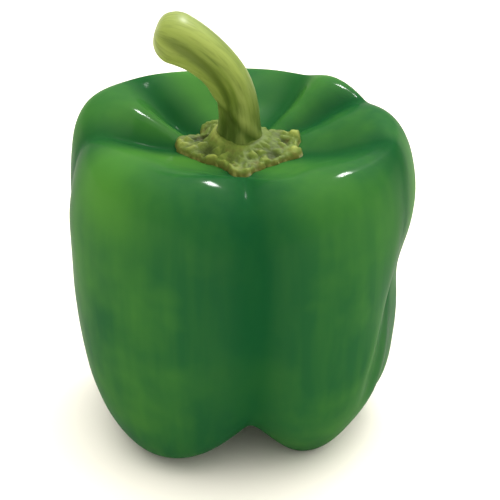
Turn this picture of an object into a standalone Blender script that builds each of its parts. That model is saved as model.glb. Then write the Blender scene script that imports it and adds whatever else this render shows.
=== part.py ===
"""Green bell pepper, standing on the feet of its lobes, as picked.

Three pieces that can be told apart by hand: the fruit, the calyx that caps its
hollow crown, and the stem that grows out of the calyx.  The fruit is a lobed body
of revolution.  A profile runs from the seat under the calyx, over the shoulder,
down the wall, round the foot and up to the blossom end.  Every lobe and every
groove between two lobes has that profile at its own size, and the skin is blended
from one to the next round the axis.  A few dents and swellings are then pressed
into the wall, and hollows into the crown.  The calyx is draped over the finished
crown and reaches furthest out along the grooves.  The stem is a ribbed tube that
bends over to one side and ends in a swollen, rounded tip.

Units are metres, +Z is up, and the origin is on the floor under the middle of the
whole pepper.
"""

import math
from dataclasses import dataclass

import bmesh
import bpy
from mathutils import Vector
from mathutils.bvhtree import BVHTree

MM = 0.001

# The fruit's overall sizes
FRUIT_RADIUS = 45.6 * MM
FRUIT_HEIGHT = 88.0 * MM

# The hollow in the crown, where the calyx sits, and the blossom end underneath
SEAT_RADIUS = 11.0 * MM
SEAT_DEPTH = 9.5 * MM
BLOSSOM_END_LIFT = 11.0 * MM

# Where a lobe's shoulder is highest, as a share of the way out to its wall
RIDGE_BROW = 0.76

# How far the crown's hollow has risen to the shoulder, at four places from the seat outward
RIDGE_RIM = (0.06, 0.30, 0.56, 0.85)
GROOVE_RIM = (0.02, 0.10, 0.30, 0.70)

# How deep each foot that touches the floor is cut flat
FOOT_FLAT_DEPTH = 0.7 * MM

# The calyx: its reach over a lobe and along a groove, its rim, and the boss under the stem
CALYX_LOBE_REACH = 13.5 * MM
CALYX_GROOVE_REACH = 17.5 * MM
CALYX_RIM = 1.3 * MM
BOSS_MARGIN = 0.3 * MM
BOSS_HEIGHT = 4.9 * MM

# The stem above the boss: how far it rises and leans to the left, and its ribs
STEM_RADIUS = 5.2 * MM
STEM_FLARE = 1.08
STEM_TIP_RADIUS = 6.8 * MM
STEM_RISE = 28.3 * MM
STEM_LEAN = 21.0 * MM
STEM_RIBS = 6
STEM_RIB_DEPTH = 0.35 * MM

# The gap that is kept where two pieces meet
CLEARANCE = 0.4 * MM

# The meshes: columns round the axis and rings down it
FRUIT_COLUMNS, FRUIT_RINGS = 44, 26
CALYX_COLUMNS, CALYX_RINGS = 40, 18
STEM_COLUMNS = 24


@dataclass(frozen=True)
class Lobe:
    """One bulge of the wall, between two grooves.

    swell: how far it stands out beyond the fruit's radius
    rise:  how far its shoulder stands above the fruit's height
    foot:  the height of its foot over the floor, before smoothing rounds it off
    fullness: how square it is across, from 2 for a round lobe upwards
    """

    name: str
    swell: float
    rise: float
    foot: float
    fullness: float


@dataclass(frozen=True)
class Groove:
    """The valley after a lobe, going anticlockwise seen from above.

    crown_azimuth, foot_azimuth: where it runs, in degrees, at the top and the bottom
    sway: how far it strays from that course half way down, in degrees
    shoulder_depth, wall_depth: how far it is drawn in at the shoulder and lower down
    saddle: how far the shoulder drops there, below the fruit's height
    brow: where the shoulder is highest there, as a share of the way out to the wall
    foot: the height of the groove over the floor
    crease: from 0 for a soft hollow to 1 for a sharp fold
    """

    crown_azimuth: float
    foot_azimuth: float
    sway: float
    shoulder_depth: float
    wall_depth: float
    saddle: float
    brow: float
    foot: float
    crease: float


@dataclass(frozen=True)
class Dent:
    """A shallow hollow in the wall, or a swelling where the depth is negative.

    azimuth, height: its middle, in degrees and over the floor
    half_angle, half_height: how far it spreads each way
    depth: how deep its middle is
    """

    azimuth: float
    height: float
    half_angle: float
    half_height: float
    depth: float


@dataclass(frozen=True)
class Hollow:
    """A shallow hollow in the crown, or a swelling where the depth is negative.

    azimuth, reach: its middle, in degrees and outward from the axis
    half_across, half_along: how far it spreads to each side, and inward and outward
    depth: how deep its middle is
    """

    azimuth: float
    reach: float
    half_across: float
    half_along: float
    depth: float


LOBES = (
    Lobe("right", 0.7 * MM, -0.9 * MM, 2.4 * MM, 2.5),
    Lobe("back_right", -3.1 * MM, 0.1 * MM, -0.3 * MM, 2.6),
    Lobe("back", -4.6 * MM, -1.9 * MM, 3.0 * MM, 2.5),
    Lobe("back_left", 2.2 * MM, 0.4 * MM, -0.6 * MM, 2.5),
    Lobe("front_left", 0.5 * MM, 0.0, 0.0, 3.8),
    Lobe("front_right", 0.1 * MM, -2.0 * MM, -0.2 * MM, 3.3),
)

GROOVES = (
    Groove(29.5, 16.5, 0.0, 4.8 * MM, 4.0 * MM, 3.7 * MM, 0.87, 8.2 * MM, 0.6),
    Groove(58.0, 74.0, 0.0, 3.1 * MM, 6.6 * MM, 3.6 * MM, 0.85, 8.0 * MM, 0.4),
    Groove(139.0, 134.0, 0.0, 2.2 * MM, 2.7 * MM, 1.0 * MM, 0.83, 5.0 * MM, 0.3),
    Groove(185.0, 170.0, 0.0, 3.3 * MM, 0.4 * MM, 5.0 * MM, 0.83, 7.9 * MM, 0.5),
    Groove(271.0, 275.5, 3.0, 2.7 * MM, 5.7 * MM, 5.1 * MM, 0.54, 12.5 * MM, 0.4),
    Groove(346.5, 343.0, 0.0, 0.5 * MM, 2.1 * MM, 2.4 * MM, 0.88, 7.9 * MM, 0.3),
)

DENTS = (
    Dent(356.5, 44.0 * MM, 24.0, 11.0 * MM, 3.5 * MM),
    Dent(355.0, 24.7 * MM, 24.0, 14.0 * MM, 1.6 * MM),
    Dent(256.5, 3.6 * MM, 22.0, 12.0 * MM, -3.6 * MM),
    Dent(299.0, 1.4 * MM, 24.0, 12.0 * MM, 4.8 * MM),
)

HOLLOWS = (
    Hollow(142.0, 20.0 * MM, 5.0 * MM, 8.0 * MM, 3.2 * MM),
    Hollow(166.0, 25.0 * MM, 6.0 * MM, 8.0 * MM, -1.2 * MM),
)


def mix(a, b, share):
    """The value that lies this share of the way from a to b."""
    return a + (b - a) * share


def profile(reach, crown, foot, brow, rim):
    """The outline of one lobe or groove, as (radius, height) from the seat to the blossom end."""
    seat = FRUIT_HEIGHT - SEAT_DEPTH
    hollow = list(zip((0.00, 0.23, 0.49, 0.75), rim))
    shoulder = [(0.00, 1.000), (0.50, 0.975), (0.83, 0.900)]
    wall = [
        (1.000, 0.750),
        (0.995, 0.570),
        (0.975, 0.400),
        (0.935, 0.250),
        (0.870, 0.120),
        (0.765, 0.033),
        (0.610, 0.000),
    ]
    return [
        (0.0, seat),
        (0.55 * SEAT_RADIUS, seat),
        *[(mix(SEAT_RADIUS, brow * reach, out), mix(seat, crown, up)) for out, up in hollow],
        *[(mix(brow, 1.0, out) * reach, mix(foot, crown, up)) for out, up in shoulder],
        *[(out * reach, mix(foot, crown, up)) for out, up in wall],
        (0.43 * reach, mix(foot, BLOSSOM_END_LIFT, 0.12)),
        (0.22 * reach, mix(foot, BLOSSOM_END_LIFT, 0.70)),
        (0.0, BLOSSOM_END_LIFT),
    ]


def along(points, share):
    """The point this share of the way along a smooth curve through all the points."""
    place = min(max(share, 0.0), 1.0) * (len(points) - 1)
    first = min(int(place), len(points) - 2)
    t = place - first
    before, start, end, after = (
        Vector(points[min(max(first + step, 0), len(points) - 1)]) for step in (-1, 0, 1, 2)
    )
    return 0.5 * (
        2.0 * start
        + (end - before) * t
        + (2.0 * before - 5.0 * start + 4.0 * end - after) * t**2
        + (3.0 * start - before - 3.0 * end + after) * t**3
    )


def drift(level):
    """How far a groove has gone from its course at the shoulder to its course at the foot."""
    return min(max((level - 0.25) / 0.5, 0.0), 1.0)


def groove_azimuth(index, level):
    """Where a groove runs at this level, in degrees, counted on round for an index past the last."""
    turns, index = divmod(index, len(GROOVES))
    groove = GROOVES[index]
    course = mix(groove.crown_azimuth, groove.foot_azimuth, drift(level))
    return course + groove.sway * math.sin(math.pi * drift(level)) + 360.0 * turns


def around(azimuth, level):
    """The lobe at this azimuth, the nearer groove, and how far across to it from the ridge."""
    count = len(GROOVES)
    after = next(
        index
        for index in range(count + 1)
        if groove_azimuth(index, level) >= azimuth or index == count
    )
    low, high = groove_azimuth(after - 1, level), groove_azimuth(after, level)
    across = (azimuth - 0.5 * (low + high)) / (0.5 * (high - low))
    groove = GROOVES[(after if across > 0.0 else after - 1) % count]
    return LOBES[after % count], groove, min(abs(across), 1.0)


def dented(azimuth, height):
    """How far all the dents together draw in the skin at this place."""
    total = 0.0
    for dent in DENTS:
        turned = (azimuth - dent.azimuth + 180.0) % 360.0 - 180.0
        away = (turned / dent.half_angle) ** 2 + ((height - dent.height) / dent.half_height) ** 2
        total += dent.depth * math.exp(-away)
    return total


def sunk(azimuth, radius, level):
    """How far all the hollows together lower the crown at this place."""
    total = 0.0
    for hollow in HOLLOWS:
        turn = math.radians(azimuth - hollow.azimuth)
        along_it = (radius * math.cos(turn) - hollow.reach) / hollow.half_along
        across_it = radius * math.sin(turn) / hollow.half_across
        total += hollow.depth * math.exp(-(along_it**2) - across_it**2)
    return total * min(max((0.50 - level) / 0.15, 0.0), 1.0)


def fruit_skin(azimuth, level):
    """The fruit's skin at this azimuth in degrees, and this share of the way down the profile."""
    lobe, groove, across = around(azimuth, level)
    reach, crown = FRUIT_RADIUS + lobe.swell, FRUIT_HEIGHT + lobe.rise
    foot = lobe.foot - FOOT_FLAT_DEPTH
    ridge = along(profile(reach, crown, foot, RIDGE_BROW, RIDGE_RIM), level)
    reach = FRUIT_RADIUS - mix(groove.shoulder_depth, groove.wall_depth, drift(level))
    crown = FRUIT_HEIGHT - groove.saddle
    valley = along(profile(reach, crown, groove.foot, groove.brow, GROOVE_RIM), level)
    soft = 0.5 - 0.5 * math.cos(math.pi * across)
    radius, height = ridge.lerp(valley, mix(soft, across**lobe.fullness, groove.crease))
    height -= sunk(azimuth, radius, level)
    radius -= dented(azimuth, height) * radius / reach
    turn = math.radians(azimuth)
    return Vector((radius * math.cos(turn), radius * math.sin(turn), height))


def material(name, colour, roughness):
    """A plain surface of one colour, given as linear red, green and blue."""
    made = bpy.data.materials.new(name)
    made.use_nodes = True
    shader = made.node_tree.nodes["Principled BSDF"]
    shader.inputs["Base Color"].default_value = (*colour, 1.0)
    shader.inputs["Roughness"].default_value = roughness
    return made


def add_object(name, mesh, collection, surface=None):
    """Puts a mesh in the scene as a named object."""
    made = bpy.data.objects.new(name, mesh)
    collection.objects.link(made)
    if surface:
        mesh.materials.append(surface)
        mesh.shade_smooth()
    return made


def wrapped_mesh(name, columns, rings, place):
    """A sphere's mesh moved onto a surface, given as a point for each azimuth and level."""
    bm = bmesh.new()
    bmesh.ops.create_uvsphere(bm, u_segments=columns, v_segments=rings, radius=1.0)
    for vertex in bm.verts:
        azimuth = math.degrees(math.atan2(vertex.co.y, vertex.co.x)) % 360.0
        level = math.acos(min(max(vertex.co.z, -1.0), 1.0)) / math.pi
        vertex.co = place(azimuth, level)
    mesh = bpy.data.meshes.new(name)
    bm.to_mesh(mesh)
    bm.free()
    return mesh


def add_floor_cutter(collection):
    """A block whose top is the floor, which cuts the feet flat."""
    side = 4.0 * FRUIT_RADIUS
    bm = bmesh.new()
    bmesh.ops.create_cube(bm, size=side)
    bmesh.ops.translate(bm, verts=bm.verts, vec=(0.0, 0.0, -0.5 * side))
    mesh = bpy.data.meshes.new("floor_cutter")
    bm.to_mesh(mesh)
    bm.free()
    cutter = add_object("floor_cutter", mesh, collection)
    cutter.hide_render = True
    cutter.display_type = "WIRE"
    return cutter


def add_fruit(collection, floor_cutter):
    """The fruit: a wrapped cage, smoothed, and cut flat where it stands."""
    mesh = wrapped_mesh("fruit", FRUIT_COLUMNS, FRUIT_RINGS, fruit_skin)
    fruit = add_object("fruit", mesh, collection, material("skin", (0.02, 0.11, 0.022), 0.25))
    smooth = fruit.modifiers.new("smooth", "SUBSURF")
    smooth.levels = smooth.render_levels = 1
    cut = fruit.modifiers.new("flat_feet", "BOOLEAN")
    cut.operation = "DIFFERENCE"
    cut.object = floor_cutter
    return fruit


def crown_under(fruit):
    """A function that gives the height of the fruit's crown at a place near the axis."""
    tree = BVHTree.FromObject(fruit, bpy.context.evaluated_depsgraph_get())

    def height(x, y):
        return tree.ray_cast(Vector((x, y, 2.0 * FRUIT_HEIGHT)), Vector((0.0, 0.0, -1.0)))[0].z

    return height


def add_calyx(collection, fruit):
    """The calyx: a rough-edged cap draped on the crown, rising to a flat boss for the stem."""
    crown = crown_under(fruit)
    boss_top = crown(0.0, 0.0) + CLEARANCE + BOSS_HEIGHT
    boss_radius = STEM_FLARE * (STEM_RADIUS + STEM_RIB_DEPTH) + BOSS_MARGIN

    def place(azimuth, level):
        _, _, across = around(azimuth, 0.0)
        reach = mix(CALYX_LOBE_REACH, CALYX_GROOVE_REACH, across**2)
        radius = reach * min(1.0, 2.3 * min(level, 1.0 - level))
        turn = math.radians(azimuth)
        x, y = radius * math.cos(turn), radius * math.sin(turn)
        under = crown(x, y) + CLEARANCE
        if level > 0.5:
            return Vector((x, y, under))
        fall = min(max((radius - boss_radius) / (reach - boss_radius), 0.0), 1.0)
        rim = mix(under + CALYX_RIM, under + 0.5 * CALYX_RIM, max(0.0, 10.0 * level - 4.0))
        return Vector((x, y, mix(boss_top, rim, fall**0.7)))

    mesh = wrapped_mesh("calyx", CALYX_COLUMNS, CALYX_RINGS, place)
    add_object("calyx", mesh, collection, material("calyx_flesh", (0.16, 0.21, 0.035), 0.6))
    return boss_top


def stem_section(collection):
    """The stem's ribbed outline at a radius of one stem radius, as a closed guide curve."""
    curve = bpy.data.curves.new("stem_section", "CURVE")
    spline = curve.splines.new("POLY")
    spline.points.add(STEM_COLUMNS - 1)
    spline.use_cyclic_u = True
    for index, point in enumerate(spline.points):
        turn = 2.0 * math.pi * index / STEM_COLUMNS
        radius = STEM_RADIUS + STEM_RIB_DEPTH * math.cos(STEM_RIBS * turn)
        point.co = (radius * math.cos(turn), radius * math.sin(turn), 0.0, 1.0)
    section = bpy.data.objects.new("stem_section", curve)
    collection.objects.link(section)
    section.hide_render = True
    return section


def add_stem(collection, cutters, foot):
    """The stem: a ribbed tube along a bending line, with its thickness set point by point."""
    tip = STEM_TIP_RADIUS / STEM_RADIUS
    route = [
        (0.00, 0.00, STEM_FLARE),
        (0.00, 0.12, 1.00),
        (0.01, 0.25, 0.97),
        (0.05, 0.40, 0.96),
        (0.14, 0.55, 1.00),
        (0.30, 0.70, 1.08),
        (0.52, 0.84, 0.93 * tip),
        (0.76, 0.94, 1.00 * tip),
        (1.00, 1.00, 1.00 * tip),
    ]
    cap = STEM_TIP_RADIUS / (STEM_RISE + STEM_LEAN)
    places = [((1.0 - cap) * index / 18, 1.0) for index in range(18)]
    for degrees in range(0, 90, 15):
        turn = math.radians(degrees)
        places.append((1.0 - cap + cap * math.sin(turn), math.cos(turn)))
    curve = bpy.data.curves.new("stem_route", "CURVE")
    curve.dimensions = "3D"
    curve.bevel_mode = "OBJECT"
    curve.bevel_object = stem_section(cutters)
    curve.use_fill_caps = True
    spline = curve.splines.new("POLY")
    spline.points.add(len(places) - 1)
    for point, (share, closing) in zip(spline.points, places):
        x, z, thickness = along(route, share)
        point.co = (-STEM_LEAN * x, 0.0, foot + STEM_RISE * z, 1.0)
        point.radius = thickness * closing
    guide = bpy.data.objects.new("stem_route", curve)
    collection.objects.link(guide)
    graph = bpy.context.evaluated_depsgraph_get()
    mesh = bpy.data.meshes.new_from_object(guide.evaluated_get(graph))
    mesh.name = "stem"
    bpy.data.objects.remove(guide)
    bm = bmesh.new()
    bm.from_mesh(mesh)
    bmesh.ops.remove_doubles(bm, verts=bm.verts, dist=0.01 * MM)
    bmesh.ops.recalc_face_normals(bm, faces=bm.faces)
    bm.to_mesh(mesh)
    bm.free()
    add_object("stem", mesh, collection, material("stem_flesh", (0.22, 0.28, 0.05), 0.5))


def stand_on_origin(pieces, others):
    """Parents everything to an empty, and moves that so the origin is under the middle."""
    graph = bpy.context.evaluated_depsgraph_get()
    corners = []
    for piece in pieces:
        corners += [Vector(corner) for corner in piece.evaluated_get(graph).bound_box]
    low, high = ([pick(c[axis] for c in corners) for axis in range(3)] for pick in (min, max))
    root = bpy.data.objects.new("pepper", None)
    pieces[0].users_collection[0].objects.link(root)
    for child in (*pieces, *others):
        child.parent = root
    root.location = (-0.5 * (low[0] + high[0]), -0.5 * (low[1] + high[1]), -low[2])


def main():
    for old in list(bpy.data.objects):
        bpy.data.objects.remove(old)
    pepper = bpy.data.collections.new("bell_pepper")
    cutters = bpy.data.collections.new("cutters")
    for made in (pepper, cutters):
        bpy.context.scene.collection.children.link(made)
    floor_cutter = add_floor_cutter(cutters)
    fruit = add_fruit(pepper, floor_cutter)
    boss_top = add_calyx(pepper, fruit)
    add_stem(pepper, cutters, boss_top + CLEARANCE)
    stand_on_origin(list(pepper.objects), [floor_cutter])


if __name__ == "__main__":
    main()
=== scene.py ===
"""Green bell pepper on a pale studio floor: the finished looks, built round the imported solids.

Three pieces ride on the one body.  The fruit is a lobed skin over a sphere's mesh, the
calyx is a crusty cap draped on its crown, and the stem is a fluted tube extruded ring by
ring along a bending line.  Each is dressed in its own finish.  Lengths are in metres, +Z
is up, and the sizes repeat those of the solids that the pieces stand for.
"""

import logging
import math
from collections.abc import Iterable, Sequence
from dataclasses import dataclass, field
from enum import Enum
from typing import Any

import bpy
from mathutils import Matrix, Vector, noise
from mathutils.bvhtree import BVHTree


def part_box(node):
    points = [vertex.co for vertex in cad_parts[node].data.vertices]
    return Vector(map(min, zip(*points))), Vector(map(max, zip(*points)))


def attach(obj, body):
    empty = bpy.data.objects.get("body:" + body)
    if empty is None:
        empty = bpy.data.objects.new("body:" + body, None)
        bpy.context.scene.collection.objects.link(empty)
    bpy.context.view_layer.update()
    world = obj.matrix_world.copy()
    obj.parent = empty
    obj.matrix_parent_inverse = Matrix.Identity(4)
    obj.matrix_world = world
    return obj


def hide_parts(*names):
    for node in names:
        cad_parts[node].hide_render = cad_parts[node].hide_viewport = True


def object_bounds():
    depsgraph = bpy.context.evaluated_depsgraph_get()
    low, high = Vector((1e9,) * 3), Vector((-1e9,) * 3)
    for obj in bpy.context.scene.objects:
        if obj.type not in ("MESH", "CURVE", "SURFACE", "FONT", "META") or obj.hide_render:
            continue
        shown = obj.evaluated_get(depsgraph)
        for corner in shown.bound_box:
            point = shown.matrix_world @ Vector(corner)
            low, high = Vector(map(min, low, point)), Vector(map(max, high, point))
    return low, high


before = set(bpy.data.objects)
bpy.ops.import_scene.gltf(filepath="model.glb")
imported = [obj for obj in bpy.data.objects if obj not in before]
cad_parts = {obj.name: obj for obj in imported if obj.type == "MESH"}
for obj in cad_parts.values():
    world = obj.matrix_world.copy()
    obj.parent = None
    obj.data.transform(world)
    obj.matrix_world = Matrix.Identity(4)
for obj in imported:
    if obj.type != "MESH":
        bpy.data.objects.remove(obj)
cad_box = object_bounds()

log = logging.getLogger("bell_pepper")

MM = 0.001
BODY = "root"
PATTERN_SEED = 3


class Slot(Enum):
    """The record's material slots."""

    SKIN = "skin"
    CALYX = "calyx_flesh"
    STEM = "stem_flesh"


# ---------------------------------------------------------------- small tools


def mix(start: float, end: float, share: float) -> float:
    """Returns the value that lies this share of the way from start to end."""
    return start + (end - start) * share


def clamp(value: float, low: float = 0.0, high: float = 1.0) -> float:
    """Returns the value held between low and high."""
    return min(max(value, low), high)


def ease(share: float) -> float:
    """Returns a share of 0 to 1 with a gentle start and end."""
    share = clamp(share)
    return share * share * (3.0 - 2.0 * share)


def bell(distance: float) -> float:
    """Returns a bell curve: 1 at no distance, and about a third at a distance of 1."""
    return math.exp(-distance * distance)


def turned(azimuth: float, other: float) -> float:
    """Returns the turn from other to azimuth in degrees, from -180 to 180."""
    return (azimuth - other + 180.0) % 360.0 - 180.0


def polar(azimuth: float, radius: float, height: float = 0.0) -> Vector:
    """Returns the point at this azimuth in degrees, distance from the axis and height."""
    turn = math.radians(azimuth)
    return Vector((radius * math.cos(turn), radius * math.sin(turn), height))


def curve_point(points: Sequence[Sequence[float]], share: float) -> Vector:
    """Finds a point on a smooth curve that passes through all the points.

    Args:
        points: the points in order, of any one dimension.
        share: how far along, from 0 at the first point to 1 at the last.

    Returns:
        The point on the curve.
    """
    place = clamp(share) * (len(points) - 1)
    first = min(int(place), len(points) - 2)
    t = place - first
    before, start, end, after = (
        Vector(points[min(max(first + step, 0), len(points) - 1)]) for step in (-1, 0, 1, 2)
    )
    return 0.5 * (
        2.0 * start
        + (end - before) * t
        + (2.0 * before - 5.0 * start + 4.0 * end - after) * t**2
        + (3.0 * start - before - 3.0 * end + after) * t**3
    )


def ring_value(stops: Sequence[tuple[float, float]], azimuth: float) -> float:
    """Reads a value that is given at some azimuths and eased between them round a ring.

    Args:
        stops: pairs of azimuth in degrees and value, in rising order of azimuth.
        azimuth: where to read, in degrees.

    Returns:
        The value there.
    """
    azimuth %= 360.0
    closed = [(stops[-1][0] - 360.0, stops[-1][1]), *stops, (stops[0][0] + 360.0, stops[0][1])]
    for (low, first), (high, second) in zip(closed, closed[1:]):
        if low <= azimuth <= high:
            return mix(first, second, ease((azimuth - low) / (high - low)))
    return stops[0][1]


def linear(code: str) -> tuple[float, float, float, float]:
    """Turns an sRGB hex colour such as "#808080" into the linear RGBA that a socket takes."""
    shares = [int(code[start : start + 2], 16) / 255.0 for start in (1, 3, 5)]
    red, green, blue = (
        share / 12.92 if share <= 0.04045 else ((share + 0.055) / 1.055) ** 2.4 for share in shares
    )
    return red, green, blue, 1.0


def add_node(
    tree: bpy.types.NodeTree, kind: str, sockets: dict[str | int, Any], **settings: Any
) -> bpy.types.Node:
    """Adds a node with its settings, values and links.

    Args:
        tree: the node tree it goes in.
        kind: Blender's name for the node's type.
        sockets: input name or index to a plain value, or to an output socket to link.
        settings: the node's own settings.

    Returns:
        The node.
    """
    made = tree.nodes.new(kind)
    for name, value in settings.items():
        setattr(made, name, value)
    for name, value in sockets.items():
        if isinstance(value, bpy.types.NodeSocket):
            tree.links.new(value, made.inputs[name])
        else:
            made.inputs[name].default_value = value
    return made


def new_finish(name: str) -> tuple[bpy.types.Material, bpy.types.NodeTree, bpy.types.Node]:
    """Starts a material and returns it, its node tree and its Principled shader."""
    made = bpy.data.materials.new(name)
    made.use_nodes = True
    return made, made.node_tree, made.node_tree.nodes["Principled BSDF"]


def read_stored(tree: bpy.types.NodeTree, name: str, output: str = "Fac") -> bpy.types.NodeSocket:
    """Returns a socket with what the mesh stores for each vertex under this name."""
    return add_node(tree, "ShaderNodeAttribute", {}, attribute_name=name).outputs[output]


def add_noise(
    tree: bpy.types.NodeTree,
    place: bpy.types.NodeSocket,
    size: float,
    detail: float,
    roughness: float = 0.5,
) -> bpy.types.NodeSocket:
    """Adds a cloudy pattern.

    Args:
        tree: the node tree it goes in.
        place: the coordinates it is laid by, in metres.
        size: how large its clouds are, in metres.
        detail: how many finer layers it has.
        roughness: how strong the finer layers are.

    Returns:
        The pattern, about 0.5 on average.
    """
    sockets = {"Vector": place, "Scale": 1.0 / size, "Detail": detail, "Roughness": roughness}
    return add_node(tree, "ShaderNodeTexNoise", sockets).outputs["Fac"]


def add_share(
    tree: bpy.types.NodeTree,
    value: bpy.types.NodeSocket,
    low: float,
    high: float,
    most: float,
    least: float = 0.0,
    **settings: Any,
) -> bpy.types.NodeSocket:
    """Turns a value into a share of another shade or finish.

    Args:
        tree: the node tree it goes in.
        value: the value to read.
        low: the value that gives the least, which may lie above the other.
        high: the value that gives the most.
        most: the share there.
        least: the share at and past the low value.
        settings: the node's own settings.

    Returns:
        The share.
    """
    sockets = {"Value": value, "From Min": low, "From Max": high, "To Min": least, "To Max": most}
    return add_node(tree, "ShaderNodeMapRange", sockets, **settings).outputs["Result"]


def lay_shades(
    tree: bpy.types.NodeTree, base: str, layers: Iterable[tuple[bpy.types.NodeSocket, str]]
) -> bpy.types.NodeSocket:
    """Lays shades over a base colour.

    Args:
        tree: the node tree they go in.
        base: the lowest colour, in hex.
        layers: how much of each shade shows, and the shade in hex, from the lowest up.

    Returns:
        The finished colour.
    """
    colour = linear(base)
    for share, shade in layers:
        colour = add_node(
            tree, "ShaderNodeMix", {0: share, 6: colour, 7: linear(shade)}, data_type="RGBA"
        ).outputs[2]
    return colour


def add_bump(
    tree: bpy.types.NodeTree, height: bpy.types.NodeSocket, strength: float, distance: float
) -> bpy.types.NodeSocket:
    """Turns a pattern into a fine relief of this depth in metres, and returns its normal."""
    sockets = {"Height": height, "Strength": strength, "Distance": distance}
    return add_node(tree, "ShaderNodeBump", sockets).outputs["Normal"]


def deselect_all() -> None:
    """Leaves nothing selected, so that the next operator acts on the new piece alone."""
    if bpy.context.mode != "OBJECT":
        bpy.ops.object.mode_set(mode="OBJECT")
    bpy.ops.object.select_all(action="DESELECT")


def keep_values(mesh: bpy.types.Mesh, name: str, values: Iterable[float]) -> None:
    """Stores one number for each vertex, for a finish to read by name."""
    mesh.attributes.new(name, "FLOAT", "POINT").data.foreach_set("value", list(values))


def keep_places(mesh: bpy.types.Mesh, name: str, places: Iterable[Vector]) -> None:
    """Stores one place for each vertex, for a finish to lay its pattern by."""
    numbers = [number for place in places for number in place]
    mesh.attributes.new(name, "FLOAT_VECTOR", "POINT").data.foreach_set("vector", numbers)


def apply_modifiers(piece: bpy.types.Object) -> None:
    """Applies every modifier of a piece, in order."""
    deselect_all()
    piece.select_set(True)
    bpy.context.view_layer.objects.active = piece
    for name in [modifier.name for modifier in piece.modifiers]:
        bpy.ops.object.modifier_apply(modifier=name)


def settle(piece: bpy.types.Object, node: str, finish: bpy.types.Material) -> None:
    """Dresses a finished piece and hands it to the frame.

    Args:
        piece: the piece, with its place in its mesh.
        node: the CAD node that it stands for.
        finish: its material.
    """
    piece.data.materials.clear()
    piece.data.materials.append(finish)
    deselect_all()
    piece.select_set(True)
    bpy.context.view_layer.objects.active = piece
    bpy.ops.object.transform_apply(location=True, rotation=True, scale=True)
    bpy.ops.object.shade_smooth()
    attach(piece, BODY)
    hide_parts(node)
    size = Vector(max(across) - min(across) for across in zip(*piece.bound_box)) / MM
    log.info("%s: %d faces, %.1f x %.1f x %.1f mm", piece.name, len(piece.data.polygons), *size)


# ---------------------------------------------------------------- the fruit's form


@dataclass(frozen=True)
class Lobe:
    """One bulge of the wall, between two grooves.

    Attributes:
        swell: how far it stands out beyond the fruit's radius.
        rise: how far its shoulder stands above the fruit's height.
        foot: the height of its foot over the floor, before smoothing rounds it off.
        fullness: how square it is across, from 2 for a round lobe upwards.
    """

    swell: float
    rise: float
    foot: float
    fullness: float


@dataclass(frozen=True)
class Groove:
    """The valley after a lobe, going anticlockwise seen from above.

    Attributes:
        crown_azimuth: where it runs at the top, in degrees.
        foot_azimuth: where it runs at the bottom, in degrees.
        sway: how far it strays from that course half way down, in degrees.
        shoulder_depth: how far it is drawn in at the shoulder.
        wall_depth: how far it is drawn in lower down.
        saddle: how far the shoulder drops there, below the fruit's height.
        brow: where the shoulder is highest there, as a share of the way out to the wall.
        foot: the height of the groove over the floor.
        crease: from 0 for a soft hollow to 1 for a sharp fold.
    """

    crown_azimuth: float
    foot_azimuth: float
    sway: float
    shoulder_depth: float
    wall_depth: float
    saddle: float
    brow: float
    foot: float
    crease: float


@dataclass(frozen=True)
class Patch:
    """A soft-edged patch of the wall, where it is pressed in or painted paler as painted light.

    Attributes:
        azimuth: its middle, in degrees.
        height: its middle, over the floor.
        half_angle: how far it spreads round, in degrees.
        half_height: how far it spreads up and down.
        amount: its strength in the middle: a depth, negative for a swelling, or how much
            paler the painted light makes the skin, from 0 to 1.
    """

    azimuth: float
    height: float
    half_angle: float
    half_height: float
    amount: float

    def amount_at(self, azimuth: float, height: float) -> float:
        """Returns how strong the patch is at this azimuth in degrees and height."""
        round_it = turned(azimuth, self.azimuth) / self.half_angle
        return self.amount * bell(math.hypot(round_it, (height - self.height) / self.half_height))


@dataclass(frozen=True)
class Hollow:
    """A shallow hollow in the crown, or a swelling where the depth is negative.

    Attributes:
        azimuth: its middle, in degrees.
        reach: its middle, outward from the axis.
        half_across: how far it spreads to each side.
        half_along: how far it spreads inward and outward.
        depth: how deep its middle is.
    """

    azimuth: float
    reach: float
    half_across: float
    half_along: float
    depth: float

    def depth_at(self, azimuth: float, radius: float) -> float:
        """Returns how deep the hollow is at this azimuth in degrees and radius."""
        turn = math.radians(turned(azimuth, self.azimuth))
        along = (radius * math.cos(turn) - self.reach) / self.half_along
        across = radius * math.sin(turn) / self.half_across
        return self.depth * bell(math.hypot(along, across))


@dataclass(frozen=True)
class Fold:
    """A narrow valley pressed along a line on the wall, shallow at both ends.

    Attributes:
        path: the points it runs through, as (azimuth in degrees, height).
        half_width: how far it spreads to each side.
        depth: how deep its middle is.
    """

    path: tuple[tuple[float, float], ...]
    half_width: float
    depth: float

    def depth_at(self, azimuth: float, height: float, radius: float) -> float:
        """Gives how deep the fold is at a place on the wall.

        Args:
            azimuth: in degrees.
            height: over the floor.
            radius: the wall's distance from the axis, which turns degrees into a length.

        Returns:
            The depth there.
        """
        deepest, spans = 0.0, len(self.path) - 1
        for index, (start, end) in enumerate(zip(self.path, self.path[1:])):
            scale = math.radians(1.0) * radius
            line = Vector((turned(end[0], start[0]) * scale, end[1] - start[1]))
            off = Vector((turned(azimuth, start[0]) * scale, height - start[1]))
            share = clamp(off.dot(line) / line.length_squared)
            run = (index + share) / spans
            taper = ease(4.0 * min(run, 1.0 - run))
            away = (off - share * line).length / self.half_width
            deepest = max(deepest, self.depth * taper * bell(away))
        return deepest


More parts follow.
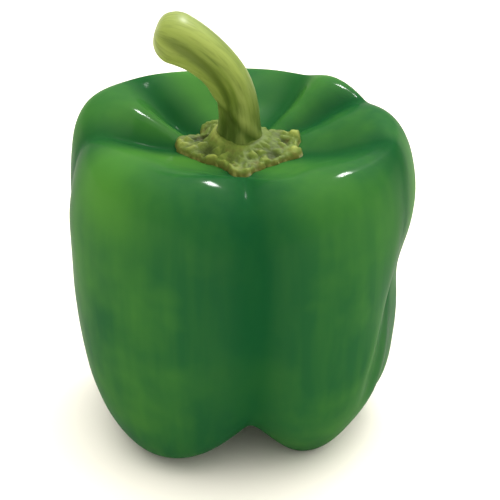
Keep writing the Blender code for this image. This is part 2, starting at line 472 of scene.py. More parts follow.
LOBES = (
    Lobe(0.7 * MM, -0.9 * MM, 2.4 * MM, 2.5),  # right
    Lobe(-3.1 * MM, 0.1 * MM, -0.3 * MM, 2.6),  # back right
    Lobe(-4.6 * MM, -1.9 * MM, 3.0 * MM, 2.5),  # back
    Lobe(2.2 * MM, 0.4 * MM, -0.6 * MM, 2.5),  # back left
    Lobe(0.5 * MM, 0.0, 0.0, 3.8),  # front left
    Lobe(0.1 * MM, -2.0 * MM, -0.2 * MM, 3.3),  # front right
)

GROOVES = (
    Groove(29.5, 16.5, 0.0, 4.8 * MM, 4.0 * MM, 3.7 * MM, 0.87, 8.2 * MM, 0.6),
    Groove(58.0, 74.0, 0.0, 3.1 * MM, 6.6 * MM, 3.6 * MM, 0.85, 8.0 * MM, 0.4),
    Groove(139.0, 134.0, 0.0, 2.2 * MM, 2.7 * MM, 1.0 * MM, 0.83, 5.0 * MM, 0.4),
    Groove(185.0, 170.0, 0.0, 3.3 * MM, 0.4 * MM, 5.0 * MM, 0.83, 7.9 * MM, 0.5),
    Groove(271.0, 275.5, 3.0, 2.7 * MM, 5.7 * MM, 5.1 * MM, 0.54, 12.5 * MM, 0.4),
    Groove(346.5, 343.0, 0.0, 0.5 * MM, 2.1 * MM, 2.4 * MM, 0.88, 7.9 * MM, 0.3),
)

DENTS = (
    Patch(356.5, 44.0 * MM, 24.0, 11.0 * MM, 3.5 * MM),
    Patch(355.0, 24.7 * MM, 24.0, 14.0 * MM, 1.6 * MM),
    Patch(256.5, 3.6 * MM, 22.0, 12.0 * MM, -3.6 * MM),
    Patch(299.0, 1.4 * MM, 24.0, 12.0 * MM, 4.8 * MM),
    Patch(338.0, 20.0 * MM, 12.0, 16.0 * MM, -1.6 * MM),
)

HOLLOWS = (
    Hollow(145.0, 20.0 * MM, 4.5 * MM, 8.0 * MM, 3.4 * MM),
    Hollow(166.0, 25.0 * MM, 6.0 * MM, 8.0 * MM, -1.2 * MM),
    Hollow(258.0, 30.5 * MM, 7.0 * MM, 7.0 * MM, -0.8 * MM),
    Hollow(314.0, 35.0 * MM, 7.0 * MM, 7.0 * MM, -0.7 * MM),
)

# Painted light: paler green laid on the upper shoulders of the crown, where light from above
# falls.
PAINTED_LIGHT_PATCHES = (
    Patch(217.0, 80.0 * MM, 22.0, 12.0 * MM, 0.8),
    Patch(348.0, 70.0 * MM, 32.0, 14.0 * MM, 0.5),
    Patch(118.0, 85.0 * MM, 20.0, 8.0 * MM, 0.6),
    Patch(164.0, 83.0 * MM, 20.0, 9.0 * MM, 0.5),
    Patch(304.0, 82.0 * MM, 18.0, 8.0 * MM, 0.35),
    Patch(58.0, 86.0 * MM, 22.0, 8.0 * MM, 0.5),
)

FOLDS = (
    Fold(
        (
            (354.0, 56.0 * MM),
            (342.0, 46.0 * MM),
            (330.0, 35.0 * MM),
            (325.0, 24.0 * MM),
            (323.0, 14.0 * MM),
        ),
        3.0 * MM,
        1.5 * MM,
    ),
)


# The common form of every outline.  The hollow's places are shares of the way from the seat
# to the brow, and the shoulder's of the way from the brow to the wall.  The wall's are shares
# of the reach and of the drop, and the blossom end's of the reach and of the way up to it.
SEAT_FLAT = 0.55
HOLLOW_PLACES = (0.00, 0.23, 0.49, 0.75)
SHOULDER_FORM = ((0.00, 1.000), (0.50, 0.975), (0.83, 0.900))
WALL_FORM = (
    (1.000, 0.750),
    (0.995, 0.570),
    (0.975, 0.400),
    (0.935, 0.250),
    (0.870, 0.120),
    (0.765, 0.033),
    (0.610, 0.000),
)
BLOSSOM_END_FORM = ((0.43, 0.12), (0.22, 0.70))


@dataclass
class Fruit:
    """The lobed fruit: one closed skin from the seat of the calyx round to the blossom end."""

    radius: float = 45.0 * MM
    height: float = 88.0 * MM
    seat_radius: float = 11.0 * MM
    seat_depth: float = 9.5 * MM
    blossom_end_lift: float = 11.0 * MM
    ridge_brow: float = 0.76
    ridge_rim: tuple[float, ...] = (0.06, 0.30, 0.56, 0.85)
    trough_rim: tuple[float, ...] = (0.02, 0.10, 0.30, 0.70)
    foot_flat_depth: float = 0.7 * MM
    lobes: tuple[Lobe, ...] = LOBES
    grooves: tuple[Groove, ...] = GROOVES
    dents: tuple[Patch, ...] = DENTS
    hollows: tuple[Hollow, ...] = HOLLOWS
    folds: tuple[Fold, ...] = FOLDS
    painted_light_patches: tuple[Patch, ...] = PAINTED_LIGHT_PATCHES
    columns: int = 88
    rings: int = 60
    smoothing: int = 2
    drift_start: float = 0.25
    drift_span: float = 0.5
    crown_end: float = 0.35
    crown_fade: float = 0.15
    ripple: float = 0.35 * MM
    ripple_size: float = 16.0 * MM
    ripple_start: float = 17.6 * MM
    ripple_height: float = 12.0 * MM
    axis: Vector = field(default_factory=Vector, init=False)

    def profile(
        self, reach: float, crown: float, foot: float, brow: float, rim: tuple[float, ...]
    ) -> list[tuple]:
        """Gives the outline of one lobe or groove, from the seat to the blossom end.

        Args:
            reach: how far the wall stands from the axis.
            crown: the height of the shoulder.
            foot: the height of the foot.
            brow: where the shoulder is highest, as a share of the reach.
            rim: how far the hollow has risen to the shoulder, at four places outward.

        Returns:
            The outline's points, as (radius, height).
        """
        seat, lift = self.height - self.seat_depth, self.blossom_end_lift
        hollow = zip(HOLLOW_PLACES, rim)
        rise, drop = crown - seat, crown - foot
        return [
            (0.0, seat),
            (SEAT_FLAT * self.seat_radius, seat),
            *[(mix(self.seat_radius, brow * reach, out), seat + rise * up) for out, up in hollow],
            *[(mix(brow, 1.0, out) * reach, foot + drop * up) for out, up in SHOULDER_FORM],
            *[(out * reach, foot + drop * up) for out, up in WALL_FORM],
            *[(out * reach, mix(foot, lift, up)) for out, up in BLOSSOM_END_FORM],
            (0.0, lift),
        ]

    def drift(self, level: float) -> float:
        """Returns how far the grooves have drifted at this level, from 0 to 1."""
        return clamp((level - self.drift_start) / self.drift_span)

    def groove_azimuth(self, index: int, level: float) -> float:
        """Finds where a groove runs, in degrees, counted on round for an index past the last.

        Args:
            index: the groove's place in the order.
            level: how far down the profile, from 0 to 1.

        Returns:
            The azimuth, which may be below 0 or above 360.
        """
        turns, index = divmod(index, len(self.grooves))
        groove = self.grooves[index]
        drift = self.drift(level)
        course = mix(groove.crown_azimuth, groove.foot_azimuth, drift)
        return course + groove.sway * math.sin(math.pi * drift) + 360.0 * turns

    def around(self, azimuth: float, level: float) -> tuple[Lobe, Groove, float]:
        """Finds the lobe and the nearer groove, and how far across from ridge to groove.

        Args:
            azimuth: in degrees, from 0 to 360.
            level: how far down the profile, from 0 to 1.

        Returns:
            The lobe, the groove, and 0 on the ridge to 1 in the groove.
        """
        count = len(self.grooves)
        after = next(
            index
            for index in range(count + 1)
            if self.groove_azimuth(index, level) >= azimuth or index == count
        )
        low, high = self.groove_azimuth(after - 1, level), self.groove_azimuth(after, level)
        across = (azimuth - 0.5 * (low + high)) / (0.5 * (high - low))
        groove = self.grooves[(after if across > 0.0 else after - 1) % count]
        return self.lobes[after % count], groove, min(abs(across), 1.0)

    def skin(self, azimuth: float, level: float) -> Vector:
        """Gives the point of the skin at this azimuth in degrees and level of the profile."""
        lobe, groove, across = self.around(azimuth, level)
        reach, crown = self.radius + lobe.swell, self.height + lobe.rise
        foot = lobe.foot - self.foot_flat_depth
        outline = self.profile(reach, crown, foot, self.ridge_brow, self.ridge_rim)
        ridge = curve_point(outline, level)
        reach = self.radius - mix(groove.shoulder_depth, groove.wall_depth, self.drift(level))
        crown = self.height - groove.saddle
        outline = self.profile(reach, crown, groove.foot, groove.brow, self.trough_rim)
        valley = curve_point(outline, level)
        soft = 0.5 - 0.5 * math.cos(math.pi * across)
        folded = mix(soft, across**lobe.fullness, groove.crease)
        radius, height = ridge.lerp(valley, folded)
        drawn_in = sum(dent.amount_at(azimuth, height) for dent in self.dents)
        drawn_in += max(fold.depth_at(azimuth, height, radius) for fold in self.folds)
        sunk = sum(hollow.depth_at(azimuth, radius) for hollow in self.hollows)
        height -= sunk * (1.0 - ease((level - self.crown_end) / self.crown_fade))
        radius -= drawn_in * radius / reach
        return polar(azimuth, radius, height)

    def build(self) -> bpy.types.Object:
        """Makes the fruit: a sphere's mesh laid on the skin, smoothed, and cut flat to stand.

        A lobed skin that changes all the way down can't be drawn with extrusions, so the
        sphere's points are laid on it one by one.

        Returns:
            The fruit, standing where its CAD node stands.
        """
        deselect_all()
        bpy.ops.mesh.primitive_uv_sphere_add(
            segments=self.columns, ring_count=self.rings, radius=1.0, location=(0.0, 0.0, 0.0)
        )
        piece = bpy.context.object
        piece.name = piece.data.name = "pepper_fruit"
        mesh, valleys, pale = piece.data, [], []
        for vertex in mesh.vertices:
            azimuth = math.degrees(math.atan2(vertex.co.y, vertex.co.x)) % 360.0
            level = math.acos(clamp(vertex.co.z, -1.0, 1.0)) / math.pi
            place = self.skin(azimuth, level)
            outward = Vector((place.x, place.y, 0.0)).normalized()
            wave = noise.fractal(place / self.ripple_size, 1.0, 2.0, 2)
            fade = ease(place.xy.length / self.ripple_start) * ease(place.z / self.ripple_height)
            vertex.co = place + outward * (wave * self.ripple * fade)
            valleys.append(self.around(azimuth, level)[2])
            # Painted light: how much paler the green is painted here, on the upper shoulders.
            pale.append(sum(painted_light.amount_at(azimuth, place.z) for painted_light in self.painted_light_patches))
        keep_values(mesh, "valley", valleys)
        keep_values(mesh, "painted_light", pale)
        smooth = piece.modifiers.new("smooth", "SUBSURF")
        smooth.levels = smooth.render_levels = self.smoothing
        apply_modifiers(piece)
        self.flatten_feet(piece)
        self.stand_over_node(piece)
        return piece

    def flatten_feet(self, piece: bpy.types.Object) -> None:
        """Cuts the feet off level with the floor and closes each cut with a flat face."""
        deselect_all()
        piece.select_set(True)
        bpy.context.view_layer.objects.active = piece
        bpy.ops.object.mode_set(mode="EDIT")
        bpy.ops.mesh.select_all(action="SELECT")
        bpy.ops.mesh.bisect(
            plane_co=(0.0, 0.0, 0.0),
            plane_no=(0.0, 0.0, 1.0),
            use_fill=True,
            clear_inner=True,
            threshold=0.001 * MM,
        )
        bpy.ops.object.mode_set(mode="OBJECT")

    def stand_over_node(self, piece: bpy.types.Object) -> None:
        """Moves the mesh so that its box has the same middle as the CAD node's box."""
        low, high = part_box("fruit")
        xs, ys = ([vertex.co[axis] for vertex in piece.data.vertices] for axis in (0, 1))
        self.axis = Vector(
            (
                0.5 * (low.x + high.x - min(xs) - max(xs)),
                0.5 * (low.y + high.y - min(ys) - max(ys)),
                0.0,
            )
        )
        piece.data.transform(Matrix.Translation(self.axis))


# ---------------------------------------------------------------- the calyx


@dataclass(frozen=True)
class Spot:
    """A knob or a pit on the calyx.

    Attributes:
        azimuth: where it is round the stem, in degrees.
        reach: where it is, outward from the axis.
        size: the radius of its bell.
        height: how high it stands, or how deep it is where negative.
        dimple: how deep the small hole in its top is.
    """

    azimuth: float
    reach: float
    size: float
    height: float
    dimple: float = 0.0


@dataclass
class Calyx:
    """The dried cap over the crown: a boss for the stem, folds, and a lumpy rolled rim."""

    outline: tuple[tuple[float, float], ...] = (
        (0.0, 15.2 * MM),
        (20.0, 16.2 * MM),
        (52.0, 9.5 * MM),
        (90.0, 12.5 * MM),
        (126.0, 15.4 * MM),
        (150.0, 12.6 * MM),
        (183.0, 16.6 * MM),
        (205.0, 14.2 * MM),
        (243.0, 11.2 * MM),
        (256.0, 13.0 * MM),
        (264.0, 16.2 * MM),
        (276.0, 16.6 * MM),
        (288.0, 13.4 * MM),
        (302.0, 12.6 * MM),
        (326.0, 13.6 * MM),
        (345.0, 16.4 * MM),
    )
    spots: tuple[Spot, ...] = (
        Spot(265.0, 13.7 * MM, 1.7 * MM, 1.2 * MM, 1.5 * MM),
        Spot(284.0, 9.6 * MM, 1.3 * MM, 0.5 * MM, 1.1 * MM),
        Spot(184.0, 14.2 * MM, 2.0 * MM, 1.2 * MM, 0.6 * MM),
        Spot(197.0, 12.0 * MM, 1.4 * MM, 0.7 * MM),
        Spot(168.0, 9.0 * MM, 1.4 * MM, -1.8 * MM),
        Spot(176.0, 11.6 * MM, 1.1 * MM, -1.0 * MM),
        Spot(342.0, 14.4 * MM, 1.8 * MM, 0.9 * MM),
        Spot(12.0, 13.8 * MM, 1.6 * MM, 1.0 * MM),
        Spot(322.0, 11.0 * MM, 1.3 * MM, -0.8 * MM),
        Spot(215.0, 9.8 * MM, 1.2 * MM, -0.6 * MM),
        Spot(0.0, 11.5 * MM, 1.2 * MM, -0.9 * MM),
        Spot(240.0, 10.0 * MM, 1.2 * MM, 0.5 * MM),
    )
    boss_radius: float = 6.0 * MM
    boss_height: float = 5.4 * MM
    rim_thickness: float = 1.5 * MM
    rim_roll: float = 0.45 * MM
    collar_height: float = 1.3 * MM
    seam_depth: float = 0.5 * MM
    crust: float = 0.75 * MM
    crust_size: float = 2.6 * MM
    fold: float = 0.2 * MM
    folds: int = 11
    ragged: float = 0.55 * MM
    ragged_turns: float = 6.0
    warp: float = 0.9 * MM
    warp_size: float = 3.5 * MM
    grain_size: float = 1.2 * MM
    fold_wander: float = 6.0
    fold_wander_size: float = 5.0 * MM
    roll_size: float = 2.6 * MM
    seam_width: float = 0.45 * MM
    seam_azimuth: float = 280.0
    collar_gap: float = 0.7 * MM
    collar_width: float = 1.1 * MM
    collar_azimuth: float = 165.0
    rim_start: float = 0.88
    slope: float = 0.75
    spread: float = 2.08
    edge_ease: float = 0.03
    columns: int = 216
    rings: int = 52
    tuck: float = 0.35 * MM
    boss_top: float = field(default=0.0, init=False)

    def reach(self, azimuth: float) -> float:
        """Gives how far the ragged edge reaches at this azimuth in degrees."""
        ragged = noise.fractal(polar(azimuth, self.ragged_turns), 0.8, 2.2, 4)
        return ring_value(self.outline, azimuth) + self.ragged * ragged

    def relief(self, azimuth: float, radius: float, fall: float) -> float:
        """Gives how far the surface stands off its smooth form.

        Args:
            azimuth: in degrees round the stem.
            radius: the distance from the axis.
            fall: how far from the boss to the edge, from 0 to 1.

        Returns:
            The height to add, in metres.
        """
        place = polar(azimuth, radius)
        warp = noise.noise_vector(place / self.warp_size) * self.warp
        nearest = noise.voronoi((place + warp) / self.crust_size)[0]
        lumps = ease(1.7 * (nearest[1] - nearest[0]))
        grain = noise.fractal(place / self.grain_size, 0.9, 2.1, 3)
        height = self.crust * (lumps - 0.6 + 0.3 * grain) * ease(fall * 3.0)
        wander = self.fold_wander * noise.noise(place / self.fold_wander_size)
        folded = 0.5 + 0.5 * math.cos(self.folds * math.radians(azimuth) + wander)
        height += self.fold * (folded**1.5 - 0.4) * ease(fall * 2.5) * (1.0 - 0.5 * fall)
        roll = 0.5 + 0.9 * noise.noise(place / self.roll_size + Vector((0.0, 0.0, 7.0)))
        height += self.rim_roll * roll * bell((fall - 0.87) / 0.09)
        out = radius - self.boss_radius
        seam = bell(out / self.seam_width) * bell(turned(azimuth, self.seam_azimuth) / 75.0)
        collar = bell((out - self.collar_gap) / self.collar_width)
        collar *= bell(turned(azimuth, self.collar_azimuth) / 60.0)
        height += self.collar_height * collar - self.seam_depth * seam
        for spot in self.spots:
            away = (place - polar(spot.azimuth, spot.reach)).length / spot.size
            height += spot.height * bell(away) - spot.dimple * bell(2.2 * away)
        return height

    def build(self, fruit: bpy.types.Object, axis: Vector) -> bpy.types.Object:
        """Makes the calyx over the finished fruit.

        Args:
            fruit: the fruit that it is draped on.
            axis: where the fruit's axis meets the floor.

        Returns:
            The calyx.
        """
        tree = BVHTree.FromObject(fruit, bpy.context.evaluated_depsgraph_get())

        def skin(place: Vector) -> float:
            above = Vector((place.x, place.y, cad_box[1].z))
            return tree.ray_cast(above, Vector((0.0, 0.0, -1.0)))[0].z

        self.boss_top = skin(axis) + self.boss_height
        deselect_all()
        bpy.ops.mesh.primitive_uv_sphere_add(
            segments=self.columns, ring_count=2 * self.rings, radius=1.0, location=(0.0, 0.0, 0.0)
        )
        piece = bpy.context.object
        piece.name = piece.data.name = "pepper_calyx"
        reliefs, edges = [], []
        for vertex in piece.data.vertices:
            azimuth = math.degrees(math.atan2(vertex.co.y, vertex.co.x)) % 360.0
            level = math.acos(clamp(vertex.co.z, -1.0, 1.0)) / math.pi
            reach = self.reach(azimuth)
            radius = reach * min(1.0, self.spread * min(level, 1.0 - level))
            place = axis + polar(azimuth, radius)
            under = skin(place)
            fall = clamp((radius - self.boss_radius) / (reach - self.boss_radius))
            if level > 0.5:
                vertex.co = (place.x, place.y, under - self.tuck)
                relief = -self.tuck
            else:
                past = clamp((fall - self.rim_start) / (1.0 - self.rim_start))
                rim = under + self.rim_thickness * math.sqrt(1.0 - past * past)
                smooth = mix(self.boss_top, rim, fall**self.slope)
                relief = self.relief(azimuth, radius, fall)
                edge = ease((1.0 - level * 2.0) / self.edge_ease)
                top = max(mix(under, smooth + relief, edge), under - 0.5 * self.tuck)
                vertex.co = (place.x, place.y, top)
            reliefs.append(relief / MM)
            edges.append(fall)
        keep_values(piece.data, "relief", reliefs)
        keep_values(piece.data, "edge", edges)
        return piece


# ---------------------------------------------------------------- the stem


@dataclass(frozen=True)
class Flute:
    """A ridge that runs along the stem, or a groove where its height is negative.

    Attributes:
        base_angle: where it stands round the stem at the base, in degrees.
        tip_angle: where it stands at the tip.
        half_angle: how far it spreads each way, in degrees.
        height: how far it stands out at the base and at the tip.
    """

    base_angle: float
    tip_angle: float
    half_angle: float
    height: tuple[float, float]


@dataclass
class Stem:
    """The fluted stem: it rises from the boss, leans over to the left and ends in a knob."""

    radius: float = 5.2 * MM
    tip_radius: float = 6.8 * MM
    rise: float = 28.9 * MM
    lean: float = 21.0 * MM
    route: tuple[tuple[float, float, float], ...] = (
        (0.00, 0.00, 1.10),
        (0.00, 0.12, 1.00),
        (0.01, 0.25, 0.97),
        (0.05, 0.40, 0.96),
        (0.14, 0.55, 1.00),
        (0.30, 0.70, 1.05),
        (0.52, 0.84, 1.15),
        (0.76, 0.94, 1.29),
        (1.00, 1.00, 1.32),
    )
    flutes: tuple[Flute, ...] = (
        Flute(272.0, 330.0, 26.0, (0.25 * MM, 0.45 * MM)),
        Flute(219.0, 284.0, 15.0, (-0.35 * MM, -0.80 * MM)),
        Flute(182.0, 243.0, 18.0, (0.30 * MM, 0.40 * MM)),
        Flute(246.0, 305.0, 8.0, (-0.22 * MM, -0.10 * MM)),
        Flute(312.0, 8.0, 14.0, (-0.22 * MM, -0.30 * MM)),
        Flute(345.0, 40.0, 20.0, (0.25 * MM, 0.30 * MM)),
        Flute(20.0, 75.0, 13.0, (-0.30 * MM, -0.40 * MM)),
        Flute(62.0, 115.0, 20.0, (0.30 * MM, 0.30 * MM)),
        Flute(105.0, 160.0, 14.0, (-0.35 * MM, -0.35 * MM)),
        Flute(142.0, 200.0, 14.0, (0.25 * MM, -0.25 * MM)),
    )
    grain: float = 0.12 * MM
    grain_turns: float = 3.2
    grain_runs: float = 4.0
    grain_stretch: float = 0.10
    tip_start: float = 0.80
    tip_fade: float = 0.75
    middle_clear: float = 0.2 * MM
    middle_fade: float = 3.0 * MM
    sink: float = 0.6 * MM
    sides: int = 96
    stations: int = 96

    def cap(self) -> float:
        """Returns how much of the stem's length the rounded end of the knob takes."""
        return self.tip_radius / (self.rise + self.lean)

    def centre(self, share: float, foot: Vector) -> tuple[Vector, float]:
        """Finds the stem's middle line and its radius.

        Args:
            share: how far along, from 0 at the base to 1 at the end of the knob.
            foot: where the stem starts.

        Returns:
            The point on the middle line, and the radius there.
        """
        x, z, thickness = curve_point(self.route, share)
        cap = self.cap()
        past = clamp((share - (1.0 - cap)) / cap)
        radius = self.radius * thickness * math.sqrt(max(1.0 - past * past, 0.0))
        return foot + Vector((-self.lean * x, 0.0, self.rise * z)), radius

    def build(self, foot: Vector) -> bpy.types.Object:
        """Makes the stem by extruding a ring along the middle line, turning and sizing it.

        Args:
            foot: where it starts, a little inside the boss's top.

        Returns:
            The stem.
        """
        cap = self.cap()
        straight = [(1.0 - cap) * index / self.stations for index in range(self.stations)]
        rounded = [
            1.0 - cap + cap * math.sin(math.radians(degrees)) for degrees in range(0, 90, 5)
        ]
        shares = straight + rounded
        rings = [self.centre(share, foot) for share in shares]
        deselect_all()
        bpy.ops.mesh.primitive_circle_add(
            vertices=self.sides, radius=rings[0][1], fill_type="NOTHING", location=rings[0][0]
        )
        piece = bpy.context.object
        piece.name = piece.data.name = "pepper_stem"
        bpy.ops.object.transform_apply(location=True)
        bpy.ops.object.mode_set(mode="EDIT")
        bpy.ops.mesh.select_all(action="SELECT")
        lean = 0.0
        for index in range(1, len(rings)):
            (before, old), (here, new) = rings[index - 1], rings[index]
            bpy.ops.mesh.extrude_region_move(TRANSFORM_OT_translate={"value": here - before})
            ahead = rings[min(index + 1, len(rings) - 1)][0] - before
            heading = math.atan2(-ahead.x, ahead.z)
            bpy.ops.transform.rotate(
                value=heading - lean, orient_axis="Y", orient_type="GLOBAL", center_override=here
            )
            lean = heading
            bpy.ops.transform.resize(value=(new / old,) * 3, center_override=here)
        bpy.ops.mesh.merge(type="CENTER")
        bpy.ops.mesh.select_all(action="DESELECT")
        bpy.ops.mesh.select_non_manifold()
        bpy.ops.mesh.edge_face_add()
        bpy.ops.mesh.select_all(action="SELECT")
        bpy.ops.mesh.normals_make_consistent(inside=False)
        bpy.ops.object.mode_set(mode="OBJECT")
        self.cut_flutes(piece, shares, rings)
        return piece

    def cut_flutes(
        self, piece: bpy.types.Object, shares: list[float], rings: list[tuple[Vector, float]]
    ) -> None:
        """Raises the ridges and sinks the grooves that run along the stem.

        Args:
            piece: the plain tube.
            shares: how far along each ring is.
            rings: the middle and the radius of each ring.
        """
        heights, lengths, places = [], [], []
        centres = [ring[0] for ring in rings]
        for vertex in piece.data.vertices:
            index = min(range(len(centres)), key=lambda i: (vertex.co - centres[i]).length_squared)
            low, high = max(index - 1, 0), min(index + 1, len(centres) - 1)
            ahead = (centres[high] - centres[low]).normalized()
            side = Vector((ahead.z, 0.0, -ahead.x))
            off = vertex.co - centres[index]
            angle = math.degrees(math.atan2(off.y, off.dot(side)))
            share = shares[index]
            height = 0.0
            for flute in self.flutes:
                middle = mix(flute.base_angle, flute.tip_angle, share)
                grown = mix(flute.height[0], flute.height[1], share)
                height += grown * bell(turned(angle, middle) / flute.half_angle)
            fade = 1.0 - self.tip_fade * ease((share - self.tip_start) / (1.0 - self.tip_start))
            grain = noise.noise(polar(angle, self.grain_turns, self.grain_runs * share))
            height = (height + self.grain * grain) * fade
            across = off - ahead * off.dot(ahead)
            if across.length > self.middle_clear:
                grown = height * min(1.0, across.length / self.middle_fade)
                vertex.co += across.normalized() * grown
            heights.append(height / MM)
            lengths.append(share)
            run = self.grain_stretch * (self.rise + self.lean) * share
            places.append(polar(angle, self.radius, run))
        keep_values(piece.data, "flute", heights)
        keep_values(piece.data, "along", lengths)
        keep_places(piece.data, "fibre", places)


# ---------------------------------------------------------------- the finishes


@dataclass(frozen=True)
class PepperSkin:
    """Bell pepper skin: a waxed cuticle grown tight over green flesh.

    It gives the eye a deep, glassy green: small sharp highlights over a soft sheen, painted
    shade that darkens the folds, painted light that pales the upper shoulders, and faint paler
    clouds and streaks down the lobes.
    """

    flesh: str = "#1b5129"
    # deep: the darker green painted into the folds as shade.
    deep: str = "#0e4323"
    # pale: paler green, painted as light on the upper shoulders and also the skin's own clouds and
    # streaks.
    pale: str = "#457b2c"
    cloud_size: float = 22.0 * MM
    streak_size: float = 4.5 * MM
    streak_squash: float = 0.12
    pore_size: float = 0.9 * MM

    def build(self) -> bpy.types.Material:
        """Makes the material."""
        made, tree, shader = new_finish("pepper_skin_waxed")
        place = add_node(tree, "ShaderNodeTexCoord", {}).outputs["Object"]
        long_way = add_node(
            tree, "ShaderNodeMapping", {"Vector": place, "Scale": (1.0, 1.0, self.streak_squash)}
        ).outputs["Vector"]
        clouds = add_noise(tree, place, self.cloud_size, 3.0)
        streaks = add_noise(tree, long_way, self.streak_size, 2.0)
        pores = add_noise(tree, place, self.pore_size, 2.0)
        valley = read_stored(tree, "valley")
        # Painted shade: the green darkens towards the bottom of every groove, by the stored valley
        # share.
        deep = add_share(tree, valley, 0.36, 1.0, 0.75, interpolation_type="SMOOTHSTEP")
        layers = (
            # The first layer is painted light: paler green on the upper shoulders. The clouds and
            # streaks are the skin's own paler tone.
            (read_stored(tree, "painted_light"), self.pale),
            (add_share(tree, clouds, 0.45, 0.75, 0.45), self.pale),
            (add_share(tree, streaks, 0.4, 0.8, 0.22), self.pale),
            (deep, self.deep),
        )
        green = lay_shades(tree, self.flesh, layers)
        wax = add_share(tree, valley, 0.76, 0.92, 0.01, least=0.08)
        bump = add_bump(tree, pores, 0.12, 0.05 * MM)
        tree.links.new(green, shader.inputs["Base Color"])
        tree.links.new(bump, shader.inputs["Normal"])
        tree.links.new(wax, shader.inputs["Coat Weight"])
        shader.inputs["Roughness"].default_value = 0.34
        shader.inputs["IOR"].default_value = 1.40
        shader.inputs["Specular IOR Level"].default_value = 0.002
        shader.inputs["Coat Roughness"].default_value = 0.12
        shader.inputs["Coat IOR"].default_value = 1.48
        shader.inputs["Subsurface Weight"].default_value = 0.12
        shader.inputs["Subsurface Radius"].default_value = (0.5, 1.0, 0.3)
        shader.inputs["Subsurface Scale"].default_value = 2.5 * MM
        return made


@dataclass(frozen=True)
class CalyxTissue:
    """Calyx tissue: leafy flesh dried to a cork-like crust.

    It gives the eye a matt olive crust with straw-coloured ridges, pits, seam and underside
    darkened with painted shade, and a brown, dry edge.
    """

    flesh: str = "#5f712c"
    straw: str = "#919c48"
    # pit: the darkest olive, painted as shade into the pits, the seam round the stem and under the
    # rim.
    pit: str = "#333f17"
    dry: str = "#6a6030"
    patch_size: float = 3.0 * MM
    grit_size: float = 0.7 * MM

    def build(self) -> bpy.types.Material:
        """Makes the material."""
        made, tree, shader = new_finish("calyx_dried")
        place = add_node(tree, "ShaderNodeTexCoord", {}).outputs["Object"]
        relief, edge = read_stored(tree, "relief"), read_stored(tree, "edge")
        patches = add_noise(tree, place, self.patch_size, 3.0)
        grit = add_noise(tree, place, self.grit_size, 2.0)
        layers = (
            (add_share(tree, relief, 0.05, 0.9, 0.85), self.straw),
            # Painted shade: the darkest olive is laid where the relief sinks, in the pits, the
            # seam round the stem and under the rim.
            (add_share(tree, relief, -0.1, -0.7, 0.85), self.pit),
            (add_share(tree, patches, 0.55, 0.8, 0.6), self.dry),
            (add_share(tree, edge, 0.93, 1.0, 0.55), self.dry),
        )
        colour = lay_shades(tree, self.flesh, layers)
        bump = add_bump(tree, grit, 0.5, 0.25 * MM)
        tree.links.new(colour, shader.inputs["Base Color"])
        tree.links.new(bump, shader.inputs["Normal"])
        shader.inputs["Roughness"].default_value = 0.6
        shader.inputs["IOR"].default_value = 1.42
        shader.inputs["Specular IOR Level"].default_value = 0.12
        return made


@dataclass(frozen=True)
class StemTissue:
    """Stem tissue: fibrous green flesh with a thin, slightly waxed rind.

    It gives the eye pale yellow-green ridges, darker olive grooves in painted shade, a darker
    base that is partly painted shade, fine fibres along the stem, and a soft sheen on the knob.
    """

    # base: the darker colour at the foot of the stem, partly painted shade where it rises out of
    # the calyx.
    base: str = "#4a5f24"
    flesh: str = "#697d2d"
    pale: str = "#9ba858"
    # groove: darker olive, painted as shade into the flute grooves and also the stem's own dark
    # streaks and fibres.
    groove: str = "#3c4d18"
    fibre_size: float = 0.7 * MM
    streak_size: float = 2.4 * MM

    def build(self) -> bpy.types.Material:
        """Makes the material."""
        made, tree, shader = new_finish("stem_fibrous")
        place = read_stored(tree, "fibre", "Vector")
        flute, along = read_stored(tree, "flute"), read_stored(tree, "along")
        fibres = add_noise(tree, place, self.fibre_size, 3.0, 0.6)
        streaks = add_noise(tree, place, self.streak_size, 3.0, 0.6)
        layers = (
            # The stem pales from its darker base towards the knob; the darker base is partly
            # painted shade where it rises out of the calyx.
            (add_share(tree, along, 0.10, 0.50, 1.0), self.flesh),
            (add_share(tree, along, 0.45, 0.95, 0.50), self.pale),
            (add_share(tree, flute, 0.05, 0.55, 0.60), self.pale),
            (add_share(tree, streaks, 0.50, 0.70, 0.35), self.pale),
            # Painted shade: darker olive sunk into the flute grooves. The two layers after it are
            # the stem's own darker streaks and fibres.
            (add_share(tree, flute, -0.05, -0.5, 0.60), self.groove),
            (add_share(tree, streaks, 0.48, 0.30, 0.50), self.groove),
            (add_share(tree, fibres, 0.50, 0.8, 0.45), self.groove),
        )
        colour = lay_shades(tree, self.base, layers)
        bump = add_bump(tree, fibres, 0.3, 0.15 * MM)
        tree.links.new(colour, shader.inputs["Base Color"])
        tree.links.new(bump, shader.inputs["Normal"])
        shader.inputs["Roughness"].default_value = 0.42
        shader.inputs["IOR"].default_value = 1.42
        shader.inputs["Specular IOR Level"].default_value = 0.15
        shader.inputs["Subsurface Weight"].default_value = 0.1
        shader.inputs["Subsurface Radius"].default_value = (1.0, 1.0, 0.3)
        shader.inputs["Subsurface Scale"].default_value = 1.5 * MM
        return made


@dataclass(frozen=True)
class StudioPaper:
    """Studio paper: a rolled sheet of matt white paper, seen as a plain pale floor."""

    tint: str = "#fcf8ee"

    def build(self) -> bpy.types.Material:
        """Makes the material."""
        made, _, shader = new_finish("studio_paper_matt")
        shader.inputs["Base Color"].default_value = linear(self.tint)
        shader.inputs["Roughness"].default_value = 0.9
        shader.inputs["IOR"].default_value = 1.3
        return made


# ---------------------------------------------------------------- the studio


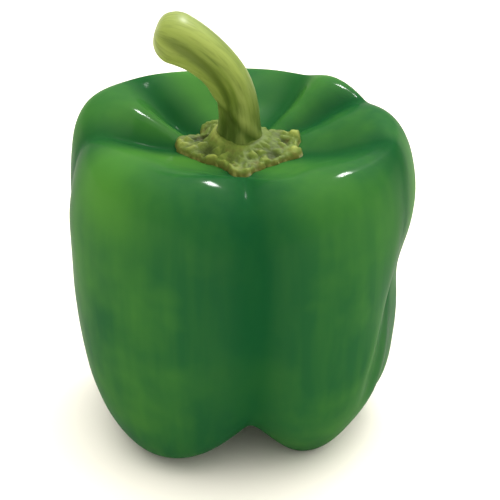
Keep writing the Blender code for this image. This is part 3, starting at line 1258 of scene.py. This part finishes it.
@dataclass
class Studio:
    """The floor, the lights and the camera."""

    lens: float = 165.0
    sensor: float = 36.0
    distance: float = 0.60
    elevation: float = 31.0
    target: tuple[float, float, float] = (2.6 * MM, -1.1 * MM, 49.5 * MM)
    floor_side: float = 12.0
    sky_low: float = 0.75
    sky_high: float = 3.9
    sky_bright: tuple[float, float, float] = (0.21, 0.32, 0.92)
    sky_gather: float = 2.5
    sky_tint: str = "#fffdf8"
    key_azimuth: float = 56.0
    key_elevation: float = 52.0
    key_distance: float = 1.2
    key_side: float = 0.18
    key_power: float = 30.0

    def add_floor(self) -> None:
        """Lays the paper floor."""
        deselect_all()
        bpy.ops.mesh.primitive_grid_add(
            x_subdivisions=4, y_subdivisions=4, size=self.floor_side, location=(0.0, 0.0, 0.0)
        )
        floor = bpy.context.object
        floor.name = floor.data.name = "studio_floor"
        floor.data.materials.append(StudioPaper().build())

    def add_sky(self) -> None:
        """Wraps the scene in an even white light, as in a tent of cloth."""
        world = bpy.data.worlds.new("light_tent")
        world.use_nodes = True
        tree = world.node_tree
        ray = add_node(tree, "ShaderNodeTexCoord", {}).outputs["Generated"]
        facing = add_node(
            tree,
            "ShaderNodeVectorMath",
            {0: ray, 1: Vector(self.sky_bright).normalized()},
            operation="DOT_PRODUCT",
        ).outputs["Value"]
        upper = add_node(tree, "ShaderNodeMath", {0: facing, 1: 0.0}, operation="MAXIMUM")
        gathered = add_node(
            tree, "ShaderNodeMath", {0: upper.outputs[0], 1: self.sky_gather}, operation="POWER"
        ).outputs[0]
        light = add_share(tree, gathered, 0.0, 1.0, self.sky_high, least=self.sky_low)
        background = tree.nodes["Background"]
        background.inputs["Color"].default_value = linear(self.sky_tint)
        tree.links.new(light, background.inputs["Strength"])
        bpy.context.scene.world = world

    def add_key(self, aim: Vector) -> None:
        """Hangs a small lamp behind the pepper on its right, which gives only the gleams."""
        elevation = math.radians(self.key_elevation)
        toward = polar(self.key_azimuth, math.cos(elevation), math.sin(elevation))
        bpy.ops.object.light_add(type="AREA", location=aim + toward * self.key_distance)
        lamp = bpy.context.object
        lamp.name = "key_lamp"
        lamp.data.size = self.key_side
        lamp.data.energy = self.key_power
        lamp.visible_diffuse = False
        lamp.rotation_mode = "QUATERNION"
        lamp.rotation_quaternion = (-toward).to_track_quat("-Z", "Y")

    def add_camera(self, aim: Vector) -> None:
        """Sets the camera in front of the pepper, looking down at the aim."""
        tilt = math.radians(self.elevation)
        back = Vector((0.0, -math.cos(tilt), math.sin(tilt)))
        bpy.ops.object.camera_add(location=aim + back * self.distance)
        camera = bpy.context.object
        camera.data.lens = self.lens
        camera.data.sensor_width = self.sensor
        camera.rotation_mode = "QUATERNION"
        camera.rotation_quaternion = (-back).to_track_quat("-Z", "Y")
        bpy.context.scene.camera = camera

    def build(self, axis: Vector) -> None:
        """Sets up the whole studio round the fruit's axis."""
        aim = axis + Vector(self.target)
        self.add_floor()
        self.add_sky()
        self.add_key(aim)
        self.add_camera(aim)
        bpy.context.scene.view_settings.view_transform = "Standard"
        log.info("studio: floor, light and camera are in place")


def main() -> None:
    """Builds the pepper piece by piece, then the studio."""
    logging.basicConfig(level=logging.INFO, format="%(name)s: %(message)s")
    noise.seed_set(PATTERN_SEED)
    form = Fruit()
    fruit = form.build()
    settle(fruit, "fruit", PepperSkin().build())
    cap = Calyx()
    calyx = cap.build(fruit, form.axis)
    settle(calyx, "calyx", CalyxTissue().build())
    stalk = Stem()
    stem = stalk.build(Vector((form.axis.x, form.axis.y, cap.boss_top - stalk.sink)))
    settle(stem, "stem", StemTissue().build())
    Studio().build(form.axis)


if __name__ == "__main__":
    main()
